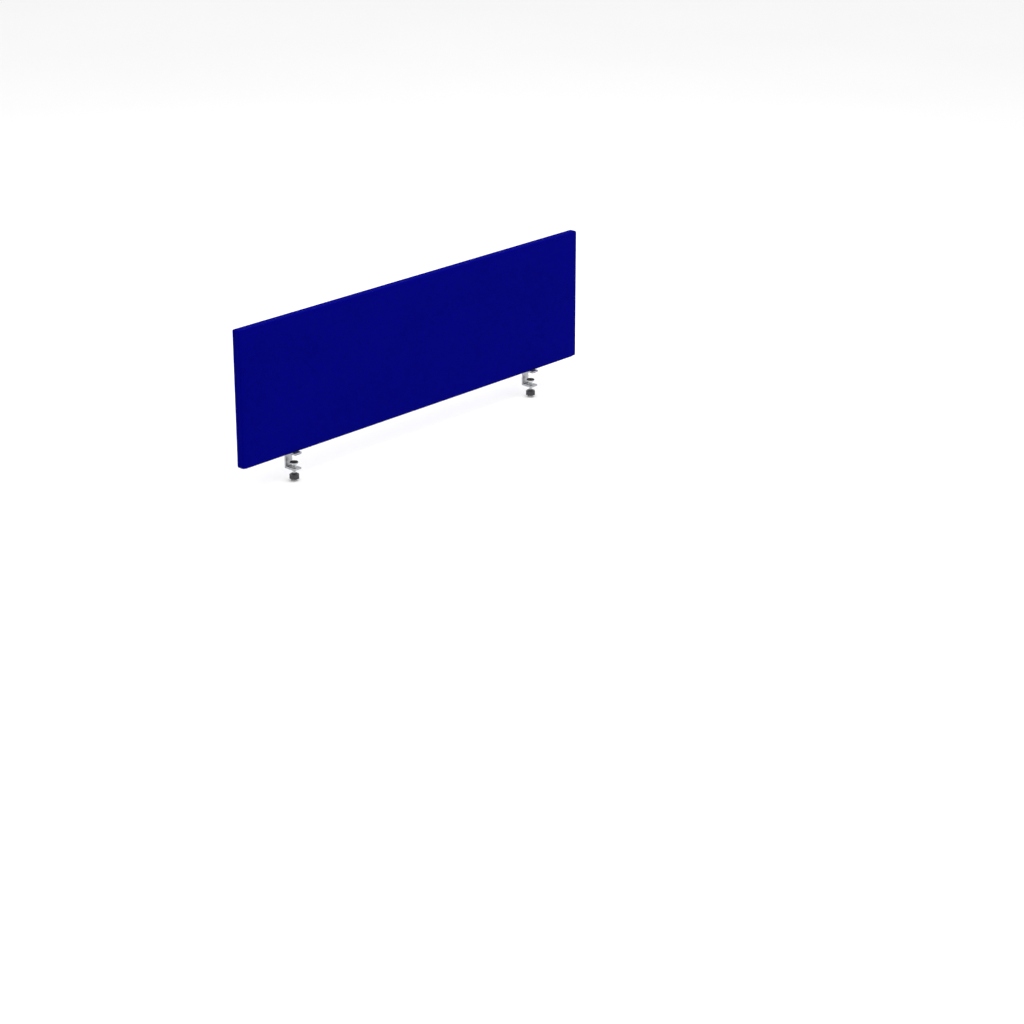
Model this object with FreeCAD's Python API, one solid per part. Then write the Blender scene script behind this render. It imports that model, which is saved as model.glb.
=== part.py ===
"""Upholstered desk privacy panel with two screw clamps.

Frame, in millimetres: the origin is on the worktop's top rear edge, at the middle of the panel.
+X runs along the panel, +Y points to the rear, away from the person at the desk, and +Z is up.
The worktop lies under z = 0, in front of y = 0.
"""

import os

import FreeCAD, Part

V = FreeCAD.Vector

# Panel
PANEL_LENGTH = 1400.0
PANEL_HEIGHT = 400.0
PANEL_THICKNESS = 28.0
PANEL_SETBACK = 3.0  # rear face in front of the worktop's rear edge
EDGE_RADIUS = 5.0  # roundness of the upholstered edges and corners
CORE_THICKNESS = 18.0
FABRIC = 1.0
HEM_GAP = 10.0  # open strip between the two turned-under hems

# Closing strip under the panel, and the staples that it hides
STRIP_THICKNESS = 1.0
STRIP_WIDTH = 20.0
STRIP_END_INSET = 10.0
STAPLE_CROWN = 10.0
STAPLE_WIRE = 0.6
STAPLE_WIDTH = 0.9
STAPLE_LEG = 8.0
STAPLE_PITCH = 60.0
STAPLE_FROM_HEM_EDGE = 3.0

# Clamp: a slice of an aluminium C-profile, one 200 mm in from each end of the panel
CLAMP_X = 500.0
CLAMP_WIDTH = 26.0
UPPER_JAW_THICKNESS = 4.0
LOWER_JAW_THICKNESS = 6.0
WEB_THICKNESS = 5.0
WEB_RELIEF = 0.6  # the web stands back from its contact land by this much
LAND_TOP = -2.0
LAND_BOTTOM = -33.0
UPPER_JAW_REACH = 40.0
LOWER_JAW_REACH = 36.0
LOWER_JAW_TOP = -41.0
WEB_OUTER_RADIUS = 3.0
JAW_NOSE_RADIUS = 1.4
UPPER_INNER_RADIUS = 1.0
LOWER_INNER_RADIUS = 3.0
CLAMP_EDGE_BREAK = 0.4

# Rubber pad under the upper jaw
JAW_PAD_THICKNESS = 1.5
JAW_PAD_INSET = 1.0
JAW_PAD_BACK = 2.0
JAW_PAD_CORNER = 1.5

# Panel screws, M5 countersunk, and their threaded inserts in the board
SCREW_SPACING = 13.0
SCREW_RADIUS = 2.5
SCREW_HEAD_RADIUS = 4.6
SCREW_HEAD_LAND = 0.3
SCREW_LENGTH = 25.0
SCREW_SOCKET_FLATS = 3.0
SCREW_SOCKET_DEPTH = 1.6
JAW_HOLE_RADIUS = 2.75
COUNTERSINK_CLEARANCE = 0.1
INSERT_RADIUS = 4.0
INSERT_LENGTH = 14.0
INSERT_FIT = 0.05
INSERT_HOLE_DEPTH = 22.0
STRIP_HOLE_RADIUS = 3.0

# Clamp screw: M8 spindle, lead 1.25 mm, in a pressed steel bush
SPINDLE_Y = -20.0
SPINDLE_RADIUS = 3.95
SPINDLE_FIT = 0.05
NECK_RADIUS = 2.5
BUSH_RADIUS = 6.0
BUSH_FLANGE_RADIUS = 7.5
BUSH_FLANGE = 1.0

# Pressure foot on the spindle's tip, set for a 25 mm worktop
WORKTOP = 25.0
FOOT_RADIUS = 12.0
FOOT_RUBBER = 2.0
FOOT_PLATE = 3.0
FOOT_HUB_RADIUS = 7.0
FOOT_HUB = 3.5
FOOT_EDGE = 0.8
FOOT_PLAY = 0.1
CLIP_POCKET_RADIUS = 5.5
CLIP_POCKET_DEPTH = 2.2
CLIP_RADIUS = 4.5
CLIP_THICKNESS = 0.7
CLIP_GROOVE_DEPTH = 0.6
CLIP_SLOT = 3.4
NECK_TIP_ABOVE_CLIP = 0.8

# Hand knob
FOOT_TRAVEL_UP = 10.0
KNOB_CLEARANCE = 1.5
KNOB_RADIUS = 14.0
KNOB_HEIGHT = 14.0
KNOB_LOBES = 7
KNOB_FLUTE_RADIUS = 4.5
KNOB_FLUTE_CENTRE = 16.3
KNOB_EDGE = 1.6
KNOB_COLLAR_RADIUS = 8.0
KNOB_COLLAR = 3.0
KNOB_BLIND_DEPTH = 11.0

# Levels worked out from the sizes above
JAW_UNDERSIDE = JAW_PAD_THICKNESS
JAW_TOP = JAW_UNDERSIDE + UPPER_JAW_THICKNESS
STRIP_TOP = JAW_TOP + STRIP_THICKNESS
PANEL_BOTTOM = STRIP_TOP
PANEL_TOP = PANEL_BOTTOM + PANEL_HEIGHT
CORE_BOTTOM = PANEL_BOTTOM + FABRIC
PANEL_REAR_Y = -PANEL_SETBACK
PANEL_FRONT_Y = PANEL_REAR_Y - PANEL_THICKNESS
PANEL_MID_Y = (PANEL_REAR_Y + PANEL_FRONT_Y) / 2
CORE_REAR_Y = PANEL_MID_Y + CORE_THICKNESS / 2
CORE_FRONT_Y = PANEL_MID_Y - CORE_THICKNESS / 2
LOWER_JAW_BOTTOM = LOWER_JAW_TOP - LOWER_JAW_THICKNESS
FOOT_PLATE_TOP = -WORKTOP - FOOT_RUBBER
HUB_TOP = FOOT_PLATE_TOP - FOOT_PLATE
HUB_BOTTOM = HUB_TOP - FOOT_HUB
CLIP_BOTTOM = FOOT_PLATE_TOP - CLIP_POCKET_DEPTH + FOOT_PLAY
CLIP_TOP = CLIP_BOTTOM + CLIP_THICKNESS
SHOULDER = HUB_BOTTOM - FOOT_PLAY
KNOB_TOP = LOWER_JAW_BOTTOM - FOOT_TRAVEL_UP - KNOB_CLEARANCE
KNOB_BODY_TOP = KNOB_TOP - KNOB_COLLAR
KNOB_BOTTOM = KNOB_BODY_TOP - KNOB_HEIGHT
SPINDLE_BOTTOM = KNOB_TOP - KNOB_BLIND_DEPTH


def box(x, y, z):
    """A box between pairs of x, y and z limits."""
    return Part.makeBox(x[1] - x[0], y[1] - y[0], z[1] - z[0], V(x[0], y[0], z[0]))


def rod(x, y, z, radius):
    """An upright cylinder between a pair of z limits."""
    return Part.makeCylinder(radius, z[1] - z[0], V(x, y, z[0]))


def picked_edges(shape, wanted):
    """The edges that the test picks."""
    return [e for e in shape.Edges if wanted(e)]


def near(a, b):
    return abs(a - b) < 1e-4


def runs_along(edge, axis):
    """True for a straight edge along the x, y or z axis."""
    if len(edge.Vertexes) != 2 or edge.Curve.TypeId != "Part::GeomLine":
        return False
    along = edge.Vertexes[1].Point - edge.Vertexes[0].Point
    return near(abs(getattr(along, axis)), along.Length)


def rounded_block(inset):
    """The upholstered panel's outline, taken in by the given amount, with round edges and corners."""
    block = box(
        (-PANEL_LENGTH / 2 + inset, PANEL_LENGTH / 2 - inset),
        (PANEL_FRONT_Y + inset, PANEL_REAR_Y - inset),
        (PANEL_BOTTOM + inset, PANEL_TOP - inset),
    )
    return block.makeFillet(EDGE_RADIUS - inset, block.Edges)


def screw_places():
    """Where the four panel screws stand, as (x, y)."""
    return [
        (side * CLAMP_X + step * SCREW_SPACING / 2, PANEL_MID_Y) for side in (-1, 1) for step in (-1, 1)
    ]


def panel_core(inside, staples):
    """The chipboard core, with blind holes for the threaded inserts and the slits that the staples cut."""
    slab = box((-PANEL_LENGTH, PANEL_LENGTH), (CORE_FRONT_Y, CORE_REAR_Y), (0, PANEL_TOP))
    core = inside.common(slab)
    for x, y in screw_places():
        core = core.cut(rod(x, y, (CORE_BOTTOM - 1, CORE_BOTTOM + INSERT_HOLE_DEPTH), INSERT_RADIUS))
    return core.cut(staples)


def foam_sheet(inside, y_limits):
    """A foam sheet glued to one face of the core."""
    return inside.common(box((-PANEL_LENGTH, PANEL_LENGTH), y_limits, (0, PANEL_TOP)))


def fabric_cover(inside, staples):
    """The sewn cover: a closed skin, open underneath between its two hems, which the staples pierce."""
    half_slot = PANEL_LENGTH / 2 - STRIP_END_INSET - HEM_GAP
    slot = box(
        (-half_slot, half_slot),
        (PANEL_MID_Y - HEM_GAP / 2, PANEL_MID_Y + HEM_GAP / 2),
        (PANEL_BOTTOM - 1, CORE_BOTTOM + 1),
    )
    return rounded_block(0).cut(inside).cut(slot).cut(staples)


def staple(x, y):
    """A staple that holds the hem to the underside of the core."""
    half = STAPLE_CROWN / 2
    sides = (y - STAPLE_WIDTH / 2, y + STAPLE_WIDTH / 2)
    crown = box((x - half, x + half), sides, (PANEL_BOTTOM, PANEL_BOTTOM + STAPLE_WIRE))
    leg_z = (PANEL_BOTTOM, PANEL_BOTTOM + STAPLE_LEG)
    left = box((x - half, x - half + STAPLE_WIRE), sides, leg_z)
    right = box((x + half - STAPLE_WIRE, x + half), sides, leg_z)
    return crown.fuse([left, right]).removeSplitter()


def cover_staples():
    """Two rows of staples, one along each hem."""
    per_side = int((PANEL_LENGTH / 2 - STRIP_END_INSET - HEM_GAP - STAPLE_CROWN) // STAPLE_PITCH)
    from_middle = HEM_GAP / 2 + STAPLE_FROM_HEM_EDGE
    return Part.makeCompound(
        [
            staple(step * STAPLE_PITCH, PANEL_MID_Y + side * from_middle)
            for side in (-1, 1)
            for step in range(-per_side, per_side + 1)
        ]
    )


def bottom_strip():
    """The plastic strip that covers the hems, with holes for the panel screws."""
    half = PANEL_LENGTH / 2 - STRIP_END_INSET
    strip = box(
        (-half, half), (PANEL_MID_Y - STRIP_WIDTH / 2, PANEL_MID_Y + STRIP_WIDTH / 2), (JAW_TOP, STRIP_TOP)
    )
    strip = strip.makeFillet(STRIP_WIDTH / 4, picked_edges(strip, lambda e: runs_along(e, "z")))
    for x, y in screw_places():
        strip = strip.cut(rod(x, y, (JAW_TOP - 1, STRIP_TOP + 1), STRIP_HOLE_RADIUS))
    return strip


def panel_inserts(side):
    """The two threaded inserts over one clamp."""
    inserts = []
    for x, y in screw_places():
        if x * side > 0:
            z = (CORE_BOTTOM, CORE_BOTTOM + INSERT_LENGTH)
            sleeve = rod(x, y, z, INSERT_RADIUS - INSERT_FIT)
            inserts.append(sleeve.cut(rod(x, y, (z[0] - 1, z[1] + 1), SCREW_RADIUS + INSERT_FIT)))
    return Part.makeCompound(inserts)


def panel_screw(x, y):
    """A countersunk socket screw, head down."""
    cone_height = SCREW_HEAD_RADIUS - SCREW_RADIUS
    land_top = JAW_UNDERSIDE + SCREW_HEAD_LAND
    head = rod(x, y, (JAW_UNDERSIDE, land_top), SCREW_HEAD_RADIUS)
    cone = Part.makeCone(SCREW_HEAD_RADIUS, SCREW_RADIUS, cone_height, V(x, y, land_top))
    shank = rod(x, y, (land_top, JAW_UNDERSIDE + SCREW_LENGTH), SCREW_RADIUS)
    centre = V(x, y, JAW_UNDERSIDE)
    to_corner = V(SCREW_SOCKET_FLATS / 3**0.5, 0, 0)
    turns = [FreeCAD.Rotation(V(0, 0, 1), 60 * corner) for corner in range(7)]
    hexagon = Part.makePolygon([centre + turn.multVec(to_corner) for turn in turns])
    socket = Part.Face(hexagon).extrude(V(0, 0, SCREW_SOCKET_DEPTH))
    return head.fuse([cone, shank]).removeSplitter().cut(socket)


def panel_screws(side):
    """The two screws that hold one clamp to the panel."""
    return Part.makeCompound([panel_screw(x, y) for x, y in screw_places() if x * side > 0])


def clamp_bracket(side):
    """The C-profile: upper jaw under the panel, web behind the worktop, lower jaw with the bush hole.

    The web touches the worktop's rear edge only on a raised land, clear of the rounded inner corners.
    """
    x = side * CLAMP_X
    width = (x - CLAMP_WIDTH / 2, x + CLAMP_WIDTH / 2)
    upper = box(width, (-UPPER_JAW_REACH, WEB_THICKNESS), (JAW_UNDERSIDE, JAW_TOP))
    web = box(width, (WEB_RELIEF, WEB_THICKNESS), (LOWER_JAW_BOTTOM, JAW_TOP))
    lower = box(width, (-LOWER_JAW_REACH, WEB_THICKNESS), (LOWER_JAW_BOTTOM, LOWER_JAW_TOP))
    bracket = upper.fuse([web, lower]).removeSplitter()

    def round_off(shape, radius, places):
        def wanted(edge):
            centre = edge.CenterOfMass
            return runs_along(edge, "x") and any(near(centre.y, y) and near(centre.z, z) for y, z in places)

        return shape.makeFillet(radius, picked_edges(shape, wanted))

    noses = [
        (-UPPER_JAW_REACH, JAW_TOP),
        (-UPPER_JAW_REACH, JAW_UNDERSIDE),
        (-LOWER_JAW_REACH, LOWER_JAW_TOP),
        (-LOWER_JAW_REACH, LOWER_JAW_BOTTOM),
    ]
    web_corners = [(WEB_THICKNESS, JAW_TOP), (WEB_THICKNESS, LOWER_JAW_BOTTOM)]
    bracket = round_off(bracket, WEB_OUTER_RADIUS, web_corners)
    bracket = round_off(bracket, UPPER_INNER_RADIUS, [(WEB_RELIEF, JAW_UNDERSIDE)])
    bracket = round_off(bracket, LOWER_INNER_RADIUS, [(WEB_RELIEF, LOWER_JAW_TOP)])
    bracket = round_off(bracket, JAW_NOSE_RADIUS, noses)
    ends = picked_edges(bracket, lambda e: near(abs(e.CenterOfMass.x - x), CLAMP_WIDTH / 2))
    bracket = bracket.makeChamfer(CLAMP_EDGE_BREAK, ends)
    land_width = (width[0] + CLAMP_EDGE_BREAK, width[1] - CLAMP_EDGE_BREAK)
    bracket = bracket.fuse(box(land_width, (0, WEB_THICKNESS / 2), (LAND_BOTTOM, LAND_TOP))).removeSplitter()

    head = SCREW_HEAD_RADIUS + COUNTERSINK_CLEARANCE
    land_top = JAW_UNDERSIDE + SCREW_HEAD_LAND
    for hole_x, hole_y in screw_places():
        if hole_x * side > 0:
            bracket = bracket.cut(rod(hole_x, hole_y, (0, JAW_TOP + 1), JAW_HOLE_RADIUS))
            bracket = bracket.cut(rod(hole_x, hole_y, (0, land_top), head))
            bracket = bracket.cut(Part.makeCone(head, 0, head, V(hole_x, hole_y, land_top)))
    return bracket.cut(rod(x, SPINDLE_Y, (LOWER_JAW_BOTTOM - 1, LOWER_JAW_TOP + 1), BUSH_RADIUS))


def jaw_pad(side):
    """The thin rubber pad between the upper jaw and the worktop."""
    x = side * CLAMP_X
    half = CLAMP_WIDTH / 2 - JAW_PAD_INSET
    pad = box((x - half, x + half), (-UPPER_JAW_REACH + JAW_PAD_INSET, -JAW_PAD_BACK), (0, JAW_PAD_THICKNESS))
    return pad.makeFillet(JAW_PAD_CORNER, picked_edges(pad, lambda e: runs_along(e, "z")))


def threaded_bush(side):
    """The flanged steel bush pressed into the lower jaw; the spindle runs in it."""
    x = side * CLAMP_X
    body = rod(x, SPINDLE_Y, (LOWER_JAW_BOTTOM, LOWER_JAW_TOP), BUSH_RADIUS)
    flange = rod(x, SPINDLE_Y, (LOWER_JAW_TOP, LOWER_JAW_TOP + BUSH_FLANGE), BUSH_FLANGE_RADIUS)
    bore = rod(x, SPINDLE_Y, (LOWER_JAW_BOTTOM - 1, LOWER_JAW_TOP + 2), SPINDLE_RADIUS + SPINDLE_FIT)
    return body.fuse(flange).removeSplitter().cut(bore)


def pressure_plate(side):
    """The steel disc and hub that stay still while the spindle turns."""
    x = side * CLAMP_X
    disc = rod(x, SPINDLE_Y, (HUB_TOP, FOOT_PLATE_TOP), FOOT_RADIUS)
    rim = picked_edges(disc, lambda e: near(e.CenterOfMass.z, HUB_TOP))
    disc = disc.makeFillet(FOOT_EDGE, rim)
    hub = rod(x, SPINDLE_Y, (HUB_BOTTOM, HUB_TOP), FOOT_HUB_RADIUS)
    pocket = rod(x, SPINDLE_Y, (FOOT_PLATE_TOP - CLIP_POCKET_DEPTH, FOOT_PLATE_TOP + 1), CLIP_POCKET_RADIUS)
    bore = rod(x, SPINDLE_Y, (HUB_BOTTOM - 1, FOOT_PLATE_TOP), NECK_RADIUS + SPINDLE_FIT)
    return disc.fuse(hub).removeSplitter().cut(pocket).cut(bore)


def pressure_pad(side):
    """The rubber disc that bears on the worktop's underside."""
    disc = rod(side * CLAMP_X, SPINDLE_Y, (FOOT_PLATE_TOP, -WORKTOP), FOOT_RADIUS)
    rim = picked_edges(disc, lambda e: near(e.CenterOfMass.z, -WORKTOP))
    return disc.makeFillet(FOOT_EDGE, rim)


def spindle_clip(side):
    """The spring clip in the spindle's neck groove, open on one side."""
    x = side * CLAMP_X
    inner = NECK_RADIUS - CLIP_GROOVE_DEPTH
    z = (CLIP_BOTTOM, CLIP_TOP)
    ring = rod(x, SPINDLE_Y, z, CLIP_RADIUS).cut(rod(x, SPINDLE_Y, z, inner))
    return ring.cut(box((x - CLIP_SLOT / 2, x + CLIP_SLOT / 2), (SPINDLE_Y, SPINDLE_Y + CLIP_RADIUS + 1), z))


def clamp_spindle(side):
    """The spindle at its thread's outer diameter, with a grooved neck that carries the foot."""
    x = side * CLAMP_X
    stem = rod(x, SPINDLE_Y, (SPINDLE_BOTTOM, SHOULDER), SPINDLE_RADIUS)
    neck = rod(x, SPINDLE_Y, (SHOULDER, CLIP_TOP + NECK_TIP_ABOVE_CLIP), NECK_RADIUS)
    groove = rod(x, SPINDLE_Y, (CLIP_BOTTOM, CLIP_TOP), NECK_RADIUS + 1)
    groove = groove.cut(rod(x, SPINDLE_Y, (CLIP_BOTTOM, CLIP_TOP), NECK_RADIUS - CLIP_GROOVE_DEPTH))
    return stem.fuse(neck).removeSplitter().cut(groove)


def clamp_knob(side):
    """The lobed plastic knob moulded on the lower end of the spindle."""
    x = side * CLAMP_X
    body = rod(x, SPINDLE_Y, (KNOB_BOTTOM, KNOB_BODY_TOP), KNOB_RADIUS)
    for lobe in range(KNOB_LOBES):
        out = FreeCAD.Rotation(V(0, 0, 1), 360 * lobe / KNOB_LOBES).multVec(V(0, -KNOB_FLUTE_CENTRE, 0))
        flute_z = (KNOB_BOTTOM - 1, KNOB_BODY_TOP + 1)
        body = body.cut(rod(x + out.x, SPINDLE_Y + out.y, flute_z, KNOB_FLUTE_RADIUS))
    rims = picked_edges(
        body, lambda e: near(e.CenterOfMass.z, KNOB_BOTTOM) or near(e.CenterOfMass.z, KNOB_BODY_TOP)
    )
    body = body.makeFillet(KNOB_EDGE, rims)
    collar = rod(x, SPINDLE_Y, (KNOB_BODY_TOP, KNOB_TOP), KNOB_COLLAR_RADIUS)
    hole = rod(x, SPINDLE_Y, (SPINDLE_BOTTOM, KNOB_TOP + 1), SPINDLE_RADIUS + SPINDLE_FIT)
    return body.fuse(collar).removeSplitter().cut(hole)


def save(name, shape):
    """Checks a sub-part's solids and writes them as one STEP file."""
    assert shape.Solids and all(s.isValid() and s.isClosed() and s.Volume > 0 for s in shape.Solids), name
    shape.exportStep(f"parts/{name}.step")
    print(f"{name}: {len(shape.Solids)} solid(s), {shape.Volume / 1000:.2f} cm3")


def main():
    os.makedirs("parts", exist_ok=True)
    inside = rounded_block(FABRIC)
    staples = cover_staples()
    save("panel_core", panel_core(inside, staples))
    save("foam_front", foam_sheet(inside, (PANEL_FRONT_Y, CORE_FRONT_Y)))
    save("foam_rear", foam_sheet(inside, (CORE_REAR_Y, PANEL_REAR_Y)))
    save("fabric_cover", fabric_cover(inside, staples))
    save("cover_staples", staples)
    save("bottom_strip", bottom_strip())
    for label, side in (("left", -1), ("right", 1)):
        save(f"panel_inserts_{label}", panel_inserts(side))
        save(f"panel_screws_{label}", panel_screws(side))
        save(f"clamp_bracket_{label}", clamp_bracket(side))
        save(f"jaw_pad_{label}", jaw_pad(side))
        save(f"threaded_bush_{label}", threaded_bush(side))
        save(f"pressure_plate_{label}", pressure_plate(side))
        save(f"pressure_pad_{label}", pressure_pad(side))
        save(f"clamp_spindle_{label}", clamp_spindle(side))
        save(f"spindle_clip_{label}", spindle_clip(side))
        save(f"clamp_knob_{label}", clamp_knob(side))


main()
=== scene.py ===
"""The finished look of an upholstered desk privacy panel and its two screw clamps."""

import math

import bmesh
import bpy
from mathutils import Matrix, Vector


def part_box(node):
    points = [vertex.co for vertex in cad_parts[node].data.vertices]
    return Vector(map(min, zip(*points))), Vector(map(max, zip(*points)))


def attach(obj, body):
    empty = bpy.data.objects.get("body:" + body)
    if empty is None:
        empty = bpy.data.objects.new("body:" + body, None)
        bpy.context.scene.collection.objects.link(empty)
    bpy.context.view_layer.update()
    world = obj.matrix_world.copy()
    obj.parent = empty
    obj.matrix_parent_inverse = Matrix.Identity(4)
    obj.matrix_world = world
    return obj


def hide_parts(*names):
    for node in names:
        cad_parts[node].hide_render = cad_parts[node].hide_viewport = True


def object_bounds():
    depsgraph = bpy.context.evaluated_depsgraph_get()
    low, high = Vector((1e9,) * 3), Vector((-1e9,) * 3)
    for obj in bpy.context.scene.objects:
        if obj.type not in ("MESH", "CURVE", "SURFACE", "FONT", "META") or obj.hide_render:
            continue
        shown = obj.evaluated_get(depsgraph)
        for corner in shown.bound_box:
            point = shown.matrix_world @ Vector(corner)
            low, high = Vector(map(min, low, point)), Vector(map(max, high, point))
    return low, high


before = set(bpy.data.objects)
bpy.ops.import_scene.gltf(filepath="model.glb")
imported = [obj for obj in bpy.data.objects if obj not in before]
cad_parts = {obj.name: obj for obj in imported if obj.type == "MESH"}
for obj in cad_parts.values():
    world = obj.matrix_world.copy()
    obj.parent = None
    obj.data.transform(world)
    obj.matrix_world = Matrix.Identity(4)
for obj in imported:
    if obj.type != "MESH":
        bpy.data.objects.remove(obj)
cad_low, cad_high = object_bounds()

bl_info = {
    "name": "Desk privacy panel",
    "version": (1, 0, 0),
    "blender": (4, 5, 0),
    "location": "View3D > Sidebar > Privacy panel",
    "description": "Builds an upholstered desk privacy panel with two screw clamps",
    "category": "Add Mesh",
}

MM = 0.001
SIDES = ("left", "right")
UP = Vector((0, 0, 1))


# Settings


class CoverSettings(bpy.types.PropertyGroup):
    """The upholstered cover."""

    edge_radius: bpy.props.FloatProperty(
        name="Edge radius", description="Roundness of the padded edges", default=5 * MM, unit="LENGTH"
    )
    inset: bpy.props.FloatProperty(
        name="Start inset",
        description="How far inside the panel's faces the cloth starts before the foam fills it",
        default=0.5 * MM,
        unit="LENGTH",
    )
    crown: bpy.props.FloatProperty(
        name="Crown", description="How far the foam may push the cloth out", default=1.1 * MM, unit="LENGTH"
    )
    held_border: bpy.props.FloatProperty(
        name="Held border",
        description="Width along the edges in which the board holds the cloth still",
        default=9 * MM,
        unit="LENGTH",
    )
    mesh_step: bpy.props.FloatProperty(
        name="Mesh step", description="Size of the cloth's mesh squares", default=10 * MM, unit="LENGTH"
    )
    fill_pressure: bpy.props.FloatProperty(
        name="Fill pressure", description="Push of the foam against the cloth", default=4.0
    )
    fill_frames: bpy.props.IntProperty(
        name="Fill frames", description="Steps in which the cloth settles over the foam", default=20
    )
    seam_width: bpy.props.FloatProperty(
        name="Seam width", description="Half the width of the seam's furrow", default=0.9 * MM, unit="LENGTH"
    )
    seam_depth: bpy.props.FloatProperty(
        name="Seam depth", description="Depth of the end seams", default=1.0 * MM, unit="LENGTH"
    )
    thread_pitch: bpy.props.FloatProperty(
        name="Thread pitch",
        description="Distance between the cloth's threads",
        default=1.1 * MM,
        unit="LENGTH",
    )
    colour: bpy.props.FloatVectorProperty(
        name="Cloth colour",
        description="Colour of the upholstery",
        default=(0.0002, 0.0004, 0.165),
        subtype="COLOR",
        size=3,
        min=0,
        max=1,
    )


class ClampSettings(bpy.types.PropertyGroup):
    """The two screw clamps."""

    thread_lead: bpy.props.FloatProperty(
        name="Thread lead",
        description="Rise of the spindle's thread in a turn",
        default=1.25 * MM,
        unit="LENGTH",
    )
    thread_depth: bpy.props.FloatProperty(
        name="Thread depth", description="Depth of the spindle's thread", default=0.72 * MM, unit="LENGTH"
    )
    thread_steps: bpy.props.IntProperty(
        name="Thread steps", description="Flat faces round one turn of the thread", default=36
    )
    neck_radius: bpy.props.FloatProperty(
        name="Neck radius", description="Radius of the spindle's neck", default=2.5 * MM, unit="LENGTH"
    )
    neck_groove: bpy.props.FloatProperty(
        name="Neck groove", description="Depth of the groove for the clip", default=0.6 * MM, unit="LENGTH"
    )
    knob_lobes: bpy.props.IntProperty(name="Knob lobes", description="Lobes round the knob", default=7)
    flute_radius: bpy.props.FloatProperty(
        name="Flute radius", description="Radius of the finger flutes", default=4.5 * MM, unit="LENGTH"
    )
    flute_offset: bpy.props.FloatProperty(
        name="Flute offset",
        description="How far outside the knob's rim the flutes are centred",
        default=2.3 * MM,
        unit="LENGTH",
    )
    knob_edge: bpy.props.FloatProperty(
        name="Knob edge", description="Roundness of the knob's rims", default=1.6 * MM, unit="LENGTH"
    )
    dish_radius: bpy.props.FloatProperty(
        name="Dish radius",
        description="Radius of the dish in the knob's underside",
        default=8.8 * MM,
        unit="LENGTH",
    )
    dish_depth: bpy.props.FloatProperty(
        name="Dish depth",
        description="Depth of the dish in the knob's underside",
        default=0.9 * MM,
        unit="LENGTH",
    )
    collar_radius: bpy.props.FloatProperty(
        name="Collar radius", description="Radius of the knob's collar", default=8 * MM, unit="LENGTH"
    )
    collar_height: bpy.props.FloatProperty(
        name="Collar height", description="Height of the knob's collar", default=3 * MM, unit="LENGTH"
    )
    rib_pitch: bpy.props.FloatProperty(
        name="Rib pitch",
        description="Distance between the ribs of the rubber pads",
        default=2 * MM,
        unit="LENGTH",
    )
    rib_depth: bpy.props.FloatProperty(
        name="Rib depth",
        description="Depth between the ribs of the rubber pads",
        default=0.4 * MM,
        unit="LENGTH",
    )
    metal_colour: bpy.props.FloatVectorProperty(
        name="Bracket colour",
        description="Colour of the anodised brackets",
        default=(0.40, 0.405, 0.42),
        subtype="COLOR",
        size=3,
        min=0,
        max=1,
    )
    plastic_colour: bpy.props.FloatVectorProperty(
        name="Knob colour",
        description="Colour of the moulded knobs",
        default=(0.016, 0.016, 0.018),
        subtype="COLOR",
        size=3,
        min=0,
        max=1,
    )


class StageSettings(bpy.types.PropertyGroup):
    """The floor, the lights and the camera."""

    camera_place: bpy.props.FloatVectorProperty(
        name="Camera place",
        description="Where the camera stands",
        default=(-5.344, -5.231, 2.555),
        subtype="TRANSLATION",
        unit="LENGTH",
        size=3,
    )
    camera_bearing: bpy.props.FloatProperty(
        name="Camera bearing",
        description="Turn of the camera from straight ahead to the right",
        default=math.radians(47.86),
        unit="ROTATION",
    )
    camera_dip: bpy.props.FloatProperty(
        name="Camera dip",
        description="How far the camera looks down",
        default=math.radians(21.08),
        unit="ROTATION",
    )
    lens: bpy.props.FloatProperty(name="Lens", description="Focal length in millimetres", default=94.17)
    floor_size: bpy.props.FloatProperty(
        name="Floor size", description="Side of the square floor", default=60.0, unit="LENGTH"
    )
    floor_gap: bpy.props.FloatProperty(
        name="Floor gap",
        description="Room under the knobs at rest, so that they clear the floor when they are screwed down",
        default=6 * MM,
        unit="LENGTH",
    )
    sky: bpy.props.FloatProperty(name="Room light", description="Strength of the even light", default=0.97)
    overhead: bpy.props.FloatProperty(
        name="Overhead light", description="Power of the light above", default=82.0, unit="POWER"
    )
    front: bpy.props.FloatProperty(
        name="Front light", description="Power of the light at the front", default=22.0, unit="POWER"
    )
    side: bpy.props.FloatProperty(
        name="Side light", description="Power of the light at the left", default=12.0, unit="POWER"
    )


# Shader helpers


def place(tree, kind, inputs=None, **settings):
    """A node with its settings; each input is a value or the output of another node."""
    node = tree.nodes.new(kind)
    for key, value in settings.items():
        setattr(node, key, value)
    for key, value in (inputs or {}).items():
        if isinstance(value, bpy.types.NodeSocket):
            tree.links.new(value, node.inputs[key])
        else:
            node.inputs[key].default_value = value
    return node


def math_node(tree, operation, first, second=0.0, third=0.0):
    """The output of a Math node."""
    return place(tree, "ShaderNodeMath", {0: first, 1: second, 2: third}, operation=operation).outputs[0]


def vector_math(tree, operation, *inputs):
    """A Vector Math node."""
    return place(tree, "ShaderNodeVectorMath", dict(enumerate(inputs)), operation=operation)


def blend_colours(tree, factor, first, second):
    """The colour between two colours."""
    return place(tree, "ShaderNodeMix", {0: factor, 6: first, 7: second}, data_type="RGBA").outputs[2]


def ramp(tree, value, low, high, to_low=0.0, to_high=1.0):
    """A value carried smoothly from one range to another."""
    inputs = {"Value": value, "From Min": low, "From Max": high, "To Min": to_low, "To Max": to_high}
    return place(tree, "ShaderNodeMapRange", inputs, interpolation_type="SMOOTHSTEP").outputs[0]


def spread(tree, value, to_low=0.0, to_high=1.0):
    """The middle of a noise pattern, spread smoothly over another range."""
    return ramp(tree, value, 0.3, 0.7, to_low, to_high)


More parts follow.
